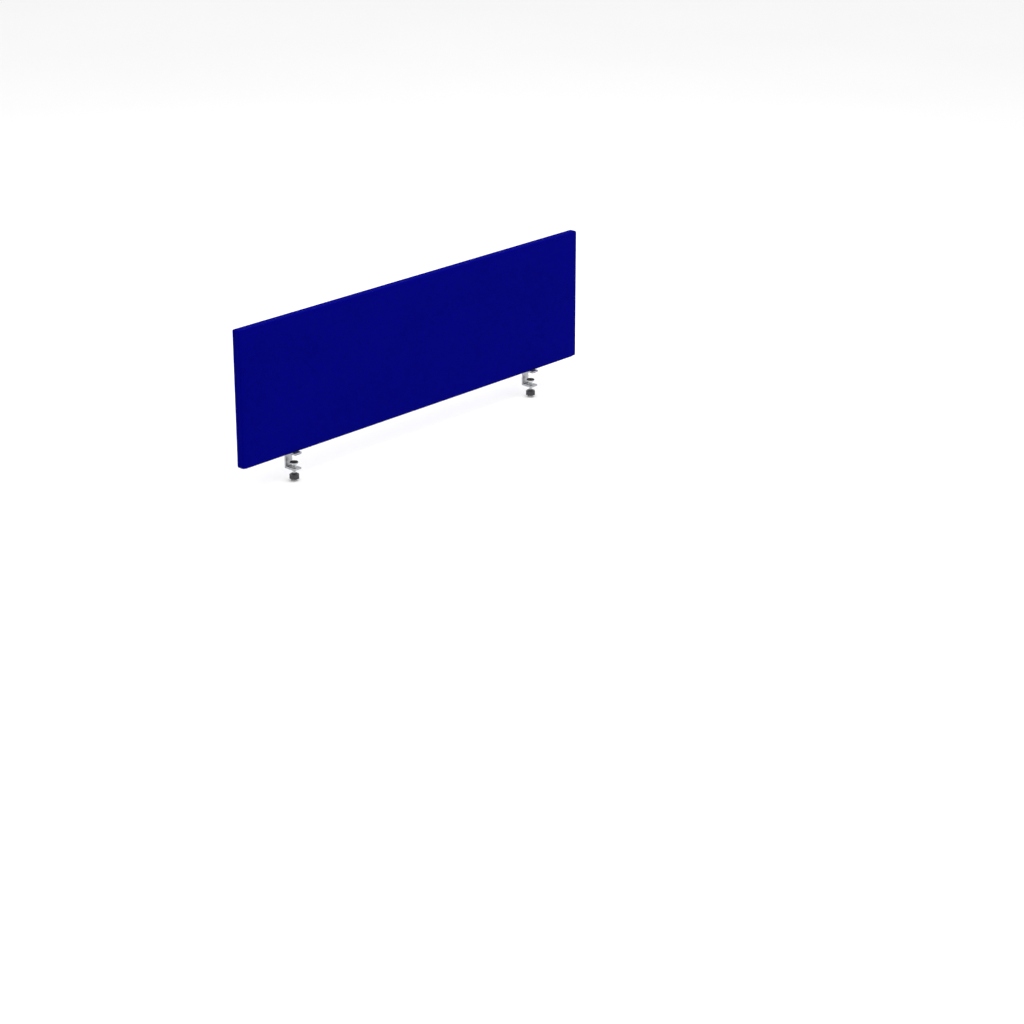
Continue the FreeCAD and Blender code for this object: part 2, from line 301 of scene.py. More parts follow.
def noise(tree, vector, scale, detail=3.0, roughness=0.5):
    """The value of a noise pattern."""
    inputs = {"Vector": vector, "Scale": scale, "Detail": detail, "Roughness": roughness}
    return place(tree, "ShaderNodeTexNoise", inputs).outputs[0]


def object_place(tree, scale=(1, 1, 1)):
    """Object coordinates, stretched."""
    coordinates = place(tree, "ShaderNodeTexCoord").outputs["Object"]
    return place(tree, "ShaderNodeMapping", {"Vector": coordinates, "Scale": scale}).outputs[0]


def shade(colour, factor):
    """A colour made lighter or darker, with full alpha."""
    return tuple(min(1.0, part * factor) for part in colour[:3]) + (1.0,)


def new_group(name, inputs, outputs):
    """A shader node group with named sockets, and its input and output nodes."""
    group = bpy.data.node_groups.new(name, "ShaderNodeTree")
    for socket, kind, value in inputs:
        made = group.interface.new_socket(name=socket, in_out="INPUT", socket_type=kind)
        if value is not None:
            made.default_value = value
    for socket in outputs:
        group.interface.new_socket(name=socket, in_out="OUTPUT", socket_type="NodeSocketFloat")
    return group, group.nodes.new("NodeGroupInput").outputs, group.nodes.new("NodeGroupOutput").inputs


def group_node(tree, name, build, inputs):
    """The outputs of a node group placed in a material; the group is built the first time it is needed."""
    group = bpy.data.node_groups.get(name) or build(name)
    return place(tree, "ShaderNodeGroup", inputs, node_tree=group).outputs


def weave_group(name):
    """Plain weave: threads over and under each other along both directions of a flat map in metres, with
    painted shade in the gaps between the threads.
    """
    inputs = [("Vector", "NodeSocketVector", None), ("Pitch", "NodeSocketFloat", MM)]
    group, given, wanted = new_group(name, inputs, ["Height", "Gap Shade", "Tint"])
    wander = 0.9 * MM
    waver = place(group, "ShaderNodeTexNoise", {"Vector": given["Vector"], "Scale": 160.0, "Detail": 2.0})
    shift = vector_math(group, "SUBTRACT", waver.outputs["Color"], (0.5, 0.5, 0.5)).outputs[0]
    pulled = vector_math(group, "MULTIPLY_ADD", shift, (wander, wander, 0), given["Vector"]).outputs[0]
    flat = place(group, "ShaderNodeSeparateXYZ", {0: pulled}).outputs
    threads = [math_node(group, "DIVIDE", flat[axis], given["Pitch"]) for axis in (0, 1)]
    numbers = [math_node(group, "FLOOR", thread) for thread in threads]
    over = math_node(group, "FLOORED_MODULO", math_node(group, "ADD", numbers[0], numbers[1]), 2.0)
    arches = [
        math_node(group, "ABSOLUTE", math_node(group, "SINE", math_node(group, "MULTIPLY", thread, math.pi)))
        for thread in threads
    ]
    heights = []
    tints = []
    apart, dye_scale, other_way = 7.31, 45.0, 50.0
    for across, along in ((0, 1), (1, 0)):
        lift = math_node(group, "MULTIPLY_ADD", arches[along], 0.5, 0.5)
        heights.append(math_node(group, "MULTIPLY", arches[across], lift))
        own = math_node(group, "MULTIPLY", numbers[across], apart)
        way = math_node(group, "MULTIPLY", flat[along], dye_scale)
        spot = place(group, "ShaderNodeCombineXYZ", {0: own, 1: way, 2: other_way * across}).outputs[0]
        tints.append(noise(group, spot, 1.0, 2.0, 0.7))
    for pair, socket in ((heights, "Height"), (tints, "Tint")):
        chosen = place(group, "ShaderNodeMix", {"Factor": over, "A": pair[1], "B": pair[0]}).outputs[0]
        group.links.new(chosen, wanted[socket])
        if socket == "Height":
            # Painted shade: darker where the weave is low, in the gaps between the threads.
            group.links.new(ramp(group, chosen, 0.0, 0.45, 1.0, 0.0), wanted["Gap Shade"])
    return group


def edge_wear_group(name):
    """Where a sharp edge is rubbed: a mask from the turn of the surface inside a small radius."""
    inputs = [("Radius", "NodeSocketFloat", 0.5 * MM), ("Scale", "NodeSocketFloat", 300.0)]
    group, given, wanted = new_group(name, inputs, ["Mask"])
    rounded = place(group, "ShaderNodeBevel", {"Radius": given["Radius"]}, samples=4).outputs[0]
    normal = place(group, "ShaderNodeNewGeometry").outputs["Normal"]
    agree = vector_math(group, "DOT_PRODUCT", rounded, normal).outputs["Value"]
    edge = ramp(group, agree, 0.995, 0.9)
    broken = ramp(group, noise(group, object_place(group), given["Scale"], 4.0, 0.6), 0.38, 0.62)
    group.links.new(math_node(group, "MULTIPLY", edge, broken), wanted["Mask"])
    return group


def grain_group(name):
    """Fine grain that can be drawn out along one direction, with broad cloudy patches."""
    inputs = [
        ("Stretch", "NodeSocketVector", (1.0, 1.0, 1.0)),
        ("Scale", "NodeSocketFloat", 2000.0),
        ("Patch Scale", "NodeSocketFloat", 40.0),
    ]
    group, given, wanted = new_group(name, inputs, ["Grain", "Patches"])
    coordinates = place(group, "ShaderNodeTexCoord").outputs["Object"]
    drawn = vector_math(group, "MULTIPLY", coordinates, given["Stretch"]).outputs[0]
    group.links.new(noise(group, drawn, given["Scale"], 2.0, 0.6), wanted["Grain"])
    group.links.new(noise(group, coordinates, given["Patch Scale"], 3.0, 0.55), wanted["Patches"])
    return group


def grain_masks(tree, scale, patch_scale, stretch=(1.0, 1.0, 1.0)):
    """The fine grain and the broad patches of a surface."""
    inputs = {"Stretch": stretch, "Scale": scale, "Patch Scale": patch_scale}
    return group_node(tree, "Grain", grain_group, inputs)


def rubbed_edges(tree, radius, scale):
    """The mask of the rubbed edges."""
    return group_node(tree, "Edge wear", edge_wear_group, {"Radius": radius, "Scale": scale})["Mask"]


def new_material(**constants):
    """A material with its node tree and shader; the constants are set on the shader's own sockets."""
    material = bpy.data.materials.new("finish")
    material.use_nodes = True
    shader = material.node_tree.nodes["Principled BSDF"]
    for key, value in constants.items():
        shader.inputs[key.replace("_", " ")].default_value = value
    return material, material.node_tree, shader


def link_looks(tree, shader, colour, roughness):
    """Joins a worked-out colour and roughness to the shader."""
    tree.links.new(colour, shader.inputs["Base Color"])
    tree.links.new(roughness, shader.inputs["Roughness"])


def link_bump(tree, shader, height, distance, strength):
    """Joins a height to the shader's normal."""
    bump = place(tree, "ShaderNodeBump", {"Height": height, "Distance": distance, "Strength": strength})
    tree.links.new(bump.outputs[0], shader.inputs["Normal"])


# Materials


def seam_masks(tree):
    """The painted shade along the end seams' furrow, and the small gathers that their stitches pull beside
    it.
    """
    low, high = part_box("fabric_cover")
    stitch = 4 * MM
    point = place(tree, "ShaderNodeSeparateXYZ", {0: object_place(tree)}).outputs
    from_seam = math_node(tree, "ABSOLUTE", math_node(tree, "SUBTRACT", point[1], (low.y + high.y) / 2))
    on_end = ramp(tree, math_node(tree, "ABSOLUTE", point[0]), high.x - 2.5 * MM, high.x - 1.5 * MM)
    # Painted shade: a thin dark line down the middle of each end seam, where the furrow lies.
    line = math_node(tree, "MULTIPLY", ramp(tree, from_seam, 0.2 * MM, 0.7 * MM, 1.0, 0.0), on_end)
    wave = math_node(tree, "SINE", math_node(tree, "MULTIPLY", point[2], math.tau / stitch))
    beside = math_node(tree, "MULTIPLY", ramp(tree, from_seam, 0.5 * MM, 5 * MM, 1.0, 0.0), on_end)
    return line, math_node(tree, "MULTIPLY", wave, beside)


def upholstery_cloth():
    """Deep blue woven upholstery with slubs, a little heather and a soft blue sheen, with painted shade in
    the weave's gaps and the end seams, and broad patches of painted pile shading.
    """
    settings = bpy.context.scene.panel_cover
    tint = (0.015, 0.025, 1.0, 1.0)
    material, tree, shader = new_material(
        Specular_IOR_Level=0.014, Sheen_Weight=0.06, Sheen_Roughness=0.45, Sheen_Tint=tint
    )
    unrolled = place(tree, "ShaderNodeUVMap", uv_map="cloth").outputs[0]
    weave = group_node(tree, "Weave", weave_group, {"Vector": unrolled, "Pitch": settings.thread_pitch})
    slubs = []
    for stretch in ((60, 700, 1), (700, 60, 1)):
        drawn = place(tree, "ShaderNodeMapping", {"Vector": unrolled, "Scale": stretch}).outputs[0]
        slubs.append(noise(tree, drawn, 1.0, 3.0, 0.6))
    heather = math_node(tree, "ADD", slubs[0], slubs[1])
    lightness = ramp(tree, math_node(tree, "MULTIPLY_ADD", weave["Tint"], 1.6, heather), 1.3, 2.3)
    # Painted pile shading: broad patches a few percent lighter and darker, standing for light caught unevenly
    # by the pile.
    patches = spread(tree, noise(tree, object_place(tree), 5.0))
    colour = blend_colours(tree, lightness, shade(settings.colour, 0.72), shade(settings.colour, 1.30))
    fade_and_pile_shade = ramp(tree, patches, 0, 1, 0.97, 1.03)
    wear_and_pile_shade = place(tree, "ShaderNodeHueSaturation", {"Color": colour, "Value": fade_and_pile_shade}).outputs[0]
    line, puckers = seam_masks(tree)
    # Painted shade: the gaps between the threads and the end seams darken towards a third of the cloth
    # colour.
    gap_and_seam_shade = math_node(tree, "MAXIMUM", math_node(tree, "MULTIPLY", weave["Gap Shade"], 0.7), line)
    threads = blend_colours(tree, gap_and_seam_shade, wear_and_pile_shade, shade(settings.colour, 0.35))
    link_looks(tree, shader, colour=threads, roughness=ramp(tree, heather, 0.6, 1.4, 0.82, 0.95))
    height = math_node(tree, "MULTIPLY_ADD", slubs[1], 0.5, weave["Height"])
    gathered = math_node(tree, "MULTIPLY_ADD", puckers, 1.5, height)
    link_bump(tree, shader, gathered, 0.4 * MM, 0.8)
    return material


def anodised_aluminium():
    """Satin anodised profile: lines drawn along the extrusion, and brighter rubbed edges."""
    metal = bpy.context.scene.panel_clamps.metal_colour
    material, tree, shader = new_material(Metallic=1.0)
    grain = grain_masks(tree, 2600.0, 55.0, (0.03, 1.0, 1.0))
    cloudy = spread(tree, grain["Patches"])
    rubbed = rubbed_edges(tree, 0.6 * MM, 260.0)
    body = blend_colours(tree, cloudy, shade(metal, 0.93), shade(metal, 1.04))
    colour = blend_colours(tree, rubbed, body, (0.86, 0.86, 0.87, 1.0))
    roughness = spread(tree, grain["Grain"], 0.30, 0.44)
    wear_and_pile_shade = math_node(tree, "MULTIPLY_ADD", rubbed, -0.12, roughness)
    link_looks(tree, shader, colour=colour, roughness=wear_and_pile_shade)
    link_bump(tree, shader, grain["Grain"], 0.03 * MM, 0.5)
    return material


def plated_steel(colour, stretch, base_roughness):
    """Zinc-plated steel with faint turning or drawing lines and cloudy passivation."""
    material, tree, shader = new_material(Metallic=1.0)
    grain = grain_masks(tree, 3200.0, 160.0, stretch)
    cloudy = spread(tree, grain["Patches"])
    rubbed = rubbed_edges(tree, 0.3 * MM, 500.0)
    body = blend_colours(tree, cloudy, shade(colour, 0.84), shade(colour, 1.08))
    wear_and_pile_shade = blend_colours(tree, rubbed, body, (0.82, 0.81, 0.79, 1.0))
    roughness = spread(tree, grain["Patches"], base_roughness + 0.1, base_roughness)
    link_looks(tree, shader, colour=wear_and_pile_shade, roughness=roughness)
    link_bump(tree, shader, grain["Grain"], 0.04 * MM, 0.5)
    return material


def moulded_plastic(colour, base_roughness, grain_scale):
    """Moulded plastic with a fine eroded grain, a little greyer where fingers rub it."""
    material, tree, shader = new_material(Specular_IOR_Level=0.45)
    grain = grain_masks(tree, grain_scale, 90.0)
    cloudy = spread(tree, grain["Patches"])
    rubbed = rubbed_edges(tree, 0.8 * MM, 350.0)
    body = blend_colours(tree, cloudy, shade(colour, 0.85), shade(colour, 1.2))
    fade_and_pile_shade = math_node(tree, "MULTIPLY", rubbed, 0.5)
    roughness = spread(tree, grain["Patches"], base_roughness - 0.06, base_roughness + 0.06)
    link_looks(tree, shader, colour=blend_colours(tree, fade_and_pile_shade, body, shade(colour, 3.5)), roughness=roughness)
    link_bump(tree, shader, grain["Grain"], 0.06 * MM, 0.6)
    return material


def pad_rubber():
    """Black rubber, matte, with a chalky bloom."""
    material, tree, shader = new_material(Specular_IOR_Level=0.3)
    grain = grain_masks(tree, 1500.0, 120.0)
    bloom = ramp(tree, grain["Patches"], 0.35, 0.75)
    colour = blend_colours(tree, bloom, (0.012, 0.012, 0.012, 1.0), (0.034, 0.034, 0.036, 1.0))
    link_looks(tree, shader, colour=colour, roughness=spread(tree, grain["Patches"], 0.7, 0.9))
    link_bump(tree, shader, grain["Grain"], 0.08 * MM, 0.6)
    return material


def chip_board():
    """Chipboard: pressed flakes of several woods."""
    material, tree, shader = new_material(Specular_IOR_Level=0.25)
    flakes = place(tree, "ShaderNodeTexVoronoi", {"Vector": object_place(tree, (1, 1, 2.5)), "Scale": 260.0})
    tone = place(tree, "ShaderNodeSeparateColor", {0: flakes.outputs["Color"]}).outputs[0]
    fibres = noise(tree, object_place(tree, (1, 1, 6)), 700.0, 3.0, 0.6)
    wood = blend_colours(tree, tone, (0.34, 0.22, 0.12, 1.0), (0.66, 0.50, 0.32, 1.0))
    colour = blend_colours(tree, ramp(tree, fibres, 0.35, 0.7, 0.0, 0.35), wood, (0.22, 0.14, 0.08, 1.0))
    link_looks(tree, shader, colour=colour, roughness=spread(tree, fibres, 0.75, 0.92))
    link_bump(tree, shader, flakes.outputs["Distance"], 0.3 * MM, 0.6)
    return material


def open_foam():
    """Cream upholstery foam with small open cells, with painted shade in the cells' pits."""
    material, tree, shader = new_material(Specular_IOR_Level=0.1, Subsurface_Weight=0.1)
    cells = place(tree, "ShaderNodeTexVoronoi", {"Vector": object_place(tree), "Scale": 900.0}, feature="F1")
    depth = ramp(tree, cells.outputs["Distance"], 0.1, 0.6)
    yellowed = ramp(tree, noise(tree, object_place(tree), 9.0), 0.35, 0.65)
    cream = blend_colours(tree, yellowed, (0.78, 0.74, 0.62, 1.0), (0.74, 0.68, 0.50, 1.0))
    # Painted shade: the colour darkens in the pits of the open cells, where the bump is low.
    colour = blend_colours(tree, math_node(tree, "MULTIPLY", depth, 0.5), (0.45, 0.41, 0.31, 1.0), cream)
    link_looks(tree, shader, colour=colour, roughness=ramp(tree, depth, 0.0, 1.0, 0.98, 0.88))
    link_bump(tree, shader, depth, 0.4 * MM, 0.8)
    return material


def studio_floor():
    """A pale painted floor with hardly visible mottling."""
    material, tree, shader = new_material(Specular_IOR_Level=0.1)
    mottle = spread(tree, noise(tree, object_place(tree), 0.8, 4.0))
    colour = blend_colours(tree, mottle, (0.925, 0.925, 0.925, 1.0), (0.935, 0.935, 0.935, 1.0))
    link_looks(tree, shader, colour=colour, roughness=ramp(tree, mottle, 0.0, 1.0, 0.8, 0.9))
    return material


def plain_steel():
    """The plated steel of the screws, inserts, bushes and spindles."""
    return plated_steel((0.60, 0.61, 0.62), (1.0, 1.0, 6.0), 0.3)


def spring_steel():
    """The darker steel of the clips and staples."""
    return plated_steel((0.42, 0.42, 0.43), (1.0, 1.0, 1.0), 0.34)


def knob_plastic():
    """The knobs' black plastic."""
    return moulded_plastic(bpy.context.scene.panel_clamps.plastic_colour, 0.42, 2400.0)


def strip_plastic():
    """The closing strip's black plastic."""
    return moulded_plastic((0.012, 0.012, 0.013), 0.7, 1300.0)


def made_once(build):
    """The material that a function builds and names, built the first time it is needed."""
    material = bpy.data.materials.get(build.__name__)
    if material is None:
        material = build()
        material.name = build.__name__
    return material


def coat(piece, build):
    """Gives every face of a piece one material."""
    material = made_once(build)
    if not piece.data.materials:
        piece.data.materials.append(material)
    for slot in range(len(piece.data.materials)):
        piece.data.materials[slot] = material


# Shape helpers


def finished_piece(name, mesh, build, body, slot, *stands_for):
    """Makes a piece from a bmesh, gives it its material and joins it to its body."""
    bmesh.ops.recalc_face_normals(mesh, faces=mesh.faces)
    data = bpy.data.meshes.new(name)
    mesh.to_mesh(data)
    mesh.free()
    data.shade_smooth()
    piece = bpy.data.objects.new(name, data)
    bpy.context.scene.collection.objects.link(piece)
    coat(piece, build)
    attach(piece, body)
    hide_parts(*stands_for)
    return piece


def round_edges(mesh, edges, radius, segments, **options):
    """Rounds edges with a bevel."""
    return bmesh.ops.bevel(
        mesh,
        geom=edges,
        offset=radius,
        affect="EDGES",
        segments=segments,
        profile=0.5,
        material=-1,
        **options,
    )


def upright_block(low, high):
    """A new bmesh that holds a block between two corners."""
    mesh = bmesh.new()
    bmesh.ops.create_cube(mesh, size=1.0)
    bmesh.ops.scale(mesh, vec=high - low, verts=mesh.verts)
    bmesh.ops.translate(mesh, vec=(low + high) / 2, verts=mesh.verts)
    return mesh


def sharpen(mesh, degrees=35):
    """Marks the edges that turn by more than an angle as sharp."""
    for edge in mesh.edges:
        edge.smooth = len(edge.link_faces) == 2 and edge.calc_face_angle() < math.radians(degrees)


def turned(mesh, outline, centre, steps):
    """Turns an outline of (radius, height) points about an upright axis into a closed shape."""
    verts = [mesh.verts.new((centre.x + radius, centre.y, height)) for radius, height in outline]
    edges = [mesh.edges.new(pair) for pair in zip(verts, verts[1:])]
    bmesh.ops.spin(
        mesh,
        geom=verts + edges,
        cent=centre,
        axis=UP,
        angle=math.tau,
        steps=steps,
        use_merge=True,
    )
    bmesh.ops.remove_doubles(mesh, verts=mesh.verts, dist=0.001 * MM)


def spindle_axis(side):
    """A point on a clamp's spindle axis."""
    low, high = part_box(f"clamp_spindle_{side}")
    return Vector(((low.x + high.x) / 2, (low.y + high.y) / 2, 0))


# The upholstered cover


def padded_block(low, high, settings):
    """A closed block with round edges, its faces divided into small squares."""
    mesh = upright_block(low, high)
    round_edges(mesh, mesh.edges[:], settings.edge_radius, 4)
    end_step = 3 * MM
    for axis, step in ((0, settings.mesh_step), (2, settings.mesh_step), (1, end_step)):
        flat = (high - low)[axis] - 2 * settings.edge_radius
        along = [e for e in mesh.edges if abs(abs((e.verts[1].co - e.verts[0].co)[axis]) - flat) < 0.01 * MM]
        cuts = 2 * round(flat / step / 2) - 1
        bmesh.ops.subdivide_edges(mesh, edges=along, cuts=cuts, use_grid_fill=True)
    return mesh


def unroll(mesh, low, high, radius):
    """Lays the cloth flat: a map in metres that runs over the top and stops at the end seams."""
    layer = mesh.loops.layers.uv.new("cloth")
    middle = (low + high) / 2
    half = (high - low) / 2

    def folded(past, depth):
        """Distance along a round edge and the face behind it."""
        if depth > radius:
            return radius * math.pi / 2 + depth - radius
        return radius * math.atan2(past, radius - depth)

    for face in mesh.faces:
        for loop in face.loops:
            offset = loop.vert.co - middle
            depth = half.y - abs(offset.y)
            past_end = max(0.0, abs(offset.x) - (half.x - radius))
            past_top = max(0.0, abs(offset.z) - (half.z - radius))
            across, up = abs(offset.x), abs(offset.z)
            if past_end > past_top:
                across = half.x - radius + folded(past_end, depth)
            elif past_top > 0:
                up = half.z - radius + folded(past_top, depth)
            loop[layer].uv = (math.copysign(across, offset.x), math.copysign(up, offset.z))


def mark_end_seams(mesh, low, high):
    """Marks the seam that runs up the middle of each end."""
    middle = (low.y + high.y) / 2
    reach = (high.x - low.x) / 2 - 0.1 * MM
    for edge in mesh.edges:
        edge.seam = all(abs(v.co.x) > reach and abs(v.co.y - middle) < 0.1 * MM for v in edge.verts)


def fill_with_foam(piece, low, high, settings):
    """Lets the cloth settle over the foam, then keeps how far it moved within the crown."""
    border = settings.held_border
    inner = [(low.x + border, high.x - border), (low.z + border, high.z - border)]
    face = (high.y - low.y) / 2 - 0.1 * MM
    middle = (high.y + low.y) / 2

    def free(point):
        across = inner[0][0] < point.x < inner[0][1]
        return across and inner[1][0] < point.z < inner[1][1] and abs(point.y - middle) > face

    held = piece.vertex_groups.new(name="held")
    held.add([v.index for v in piece.data.vertices if not free(v.co)], 1.0, "REPLACE")
    modifier = piece.modifiers.new("fill", "CLOTH")
    cloth = modifier.settings
    cloth.quality = 5
    cloth.mass = 0.3
    cloth.tension_stiffness = 20
    cloth.compression_stiffness = 20
    cloth.bending_stiffness = 1.5
    cloth.vertex_group_mass = held.name
    cloth.use_pressure = True
    cloth.uniform_pressure_force = settings.fill_pressure
    cloth.effector_weights.gravity = 0
    modifier.point_cache.frame_end = settings.fill_frames
    scene = bpy.context.scene
    for step in range(1, settings.fill_frames + 1):
        scene.frame_set(step)
    settled = piece.evaluated_get(bpy.context.evaluated_depsgraph_get()).data
    places = [v.co.copy() for v in settled.vertices]
    piece.modifiers.remove(modifier)
    piece.vertex_groups.remove(held)
    scene.frame_set(1)
    for vertex, to in zip(piece.data.vertices, places):
        moved = to - vertex.co
        if moved.length > 0:
            vertex.co += moved.normalized() * settings.crown * math.tanh(moved.length / settings.crown)


def sink_end_seams(piece, settings):
    """Opens a narrow furrow along the marked seams."""
    mesh = bmesh.new()
    mesh.from_mesh(piece.data)
    seams = [e for e in mesh.edges if e.seam]
    line = [v for v in mesh.verts if any(e.seam for e in v.link_edges)]
    middle = sum(v.co.y for v in line) / len(line)
    made = round_edges(mesh, seams, settings.seam_width, 4)
    for vertex in made["verts"]:
        near = max(0.0, 1 - abs(vertex.co.y - middle) / settings.seam_width)
        vertex.co.x -= math.copysign(settings.seam_depth * near, vertex.co.x)
    mesh.to_mesh(piece.data)
    mesh.free()


class PANEL_OT_cover(bpy.types.Operator):
    """Makes the padded cloth cover"""

    bl_idname = "privacy_panel.cover"
    bl_label = "Cover"

    def execute(self, context):
        settings = context.scene.panel_cover
        low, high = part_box("fabric_cover")
        start_low = low + Vector((0, settings.inset, 0))
        start_high = high - Vector((0, settings.inset, 0))
        mesh = padded_block(start_low, start_high, settings)
        unroll(mesh, start_low, start_high, settings.edge_radius)
        mark_end_seams(mesh, start_low, start_high)
        cover = finished_piece("panel_cover", mesh, upholstery_cloth, "panel", "upholstery", "fabric_cover")
        fill_with_foam(cover, start_low, start_high, settings)
        sink_end_seams(cover, settings)
        cover.data.shade_smooth()
        rounding = cover.modifiers.new("rounding", "SUBSURF")
        rounding.levels = rounding.render_levels = 1
        return {"FINISHED"}


class PANEL_OT_inner_parts(bpy.types.Operator):
    """Finishes the board, the foam, the staples and the closing strip"""

    bl_idname = "privacy_panel.inner_parts"
    bl_label = "Inner parts"

    def execute(self, context):
        looks = {
            "panel_core": chip_board,
            "foam_front": open_foam,
            "foam_rear": open_foam,
            "cover_staples": spring_steel,
            "bottom_strip": strip_plastic,
        }
        for node, build in looks.items():
            coat(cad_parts[node], build)
        return {"FINISHED"}


# The clamps


class PANEL_OT_brackets(bpy.types.Operator):
    """Finishes the brackets, bushes, screws, inserts, pressure plates and clips"""

    bl_idname = "privacy_panel.brackets"
    bl_label = "Brackets and fasteners"

    def execute(self, context):
        looks = {
            "clamp_bracket": anodised_aluminium,
            "threaded_bush": plain_steel,
            "panel_screws": plain_steel,
            "panel_inserts": plain_steel,
            "pressure_plate": plain_steel,
            "spindle_clip": spring_steel,
        }
        for side in SIDES:
            for node, build in looks.items():
                coat(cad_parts[f"{node}_{side}"], build)
        return {"FINISHED"}


def screw_thread(mesh, centre, bottom, top, radius, settings):
    """A right-hand thread between two levels, cut off square and closed at both ends."""
    lead = settings.thread_lead
    root = radius - settings.thread_depth
    start = bottom - lead
    turns = math.ceil((top - start) / lead)
    outline = [(root, 0), (radius, 0.38), (radius, 0.52), (root, 0.90), (root, 1)]
    verts = [mesh.verts.new((centre.x + r, centre.y, start + part * lead)) for r, part in outline]
    edges = [mesh.edges.new(pair) for pair in zip(verts, verts[1:])]
    bmesh.ops.spin(
        mesh,
        geom=verts + edges,
        cent=centre,
        axis=UP,
        dvec=UP * lead / settings.thread_steps,
        angle=math.tau * turns,
        steps=settings.thread_steps * turns,
    )
    bmesh.ops.remove_doubles(mesh, verts=mesh.verts, dist=0.005 * MM)
    for level, away in ((bottom, -UP), (top, UP)):
        cut = bmesh.ops.bisect_plane(
            mesh,
            geom=mesh.verts[:] + mesh.edges[:] + mesh.faces[:],
            dist=0.0001 * MM,
            plane_co=UP * level,
            plane_no=away,
            clear_outer=True,
        )
        rim = [part for part in cut["geom_cut"] if isinstance(part, bmesh.types.BMEdge)]
        bmesh.ops.edgeloop_fill(mesh, edges=rim)


class PANEL_OT_spindles(bpy.types.Operator):
    """Makes the threaded spindles"""

    bl_idname = "privacy_panel.spindles"
    bl_label = "Spindles"

    def execute(self, context):
        settings = context.scene.panel_clamps
        for side in SIDES:
            low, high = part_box(f"clamp_spindle_{side}")
            clip_low, clip_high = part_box(f"spindle_clip_{side}")
            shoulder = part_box(f"pressure_plate_{side}")[0].z - 0.1 * MM
            centre = spindle_axis(side)
            radius = (high.x - low.x) / 2
            stub = radius - settings.thread_depth - 0.1 * MM
            neck = settings.neck_radius
            groove = neck - settings.neck_groove
            bevel = 0.3 * MM
            run_out = shoulder - 1.6 * MM
            mesh = bmesh.new()
            outline = [
                (0, run_out - bevel),
                (stub, run_out - bevel),
                (stub, shoulder - bevel),
                (stub - bevel, shoulder),
                (neck, shoulder),
                (neck, clip_low.z),
                (groove, clip_low.z),
                (groove, clip_high.z),
                (neck, clip_high.z),
                (neck, high.z - bevel),
                (neck - bevel, high.z),
                (0, high.z),
            ]
            turned(mesh, outline, centre, 48)
            thread = bmesh.new()
            screw_thread(thread, centre, low.z, run_out, radius, settings)
            data = bpy.data.meshes.new("thread")
            thread.to_mesh(data)
            thread.free()
            mesh.from_mesh(data)
            bpy.data.meshes.remove(data)
            sharpen(mesh)
            body, node = f"spindle_{side}", f"clamp_spindle_{side}"
            finished_piece(f"threaded_spindle_{side}", mesh, plain_steel, body, "plated_steel", node)
        return {"FINISHED"}


STEPS_PER_LOBE = 24


def fluted_radius(angle, radius, settings):
    """Distance from the knob's axis to its rim, with the finger flutes' edges softened."""
    sector = math.tau / settings.knob_lobes
    off = (angle + sector / 2) % sector - sector / 2
    out = radius + settings.flute_offset
    under_root = settings.flute_radius**2 - (out * math.sin(off)) ** 2
    if under_root <= 0:
        return radius
    flute = out * math.cos(off) - math.sqrt(under_root)
    soft = 0.9 * MM
    near = max(soft - abs(radius - flute), 0) / soft
    return min(radius, flute) - near**2 * soft / 4


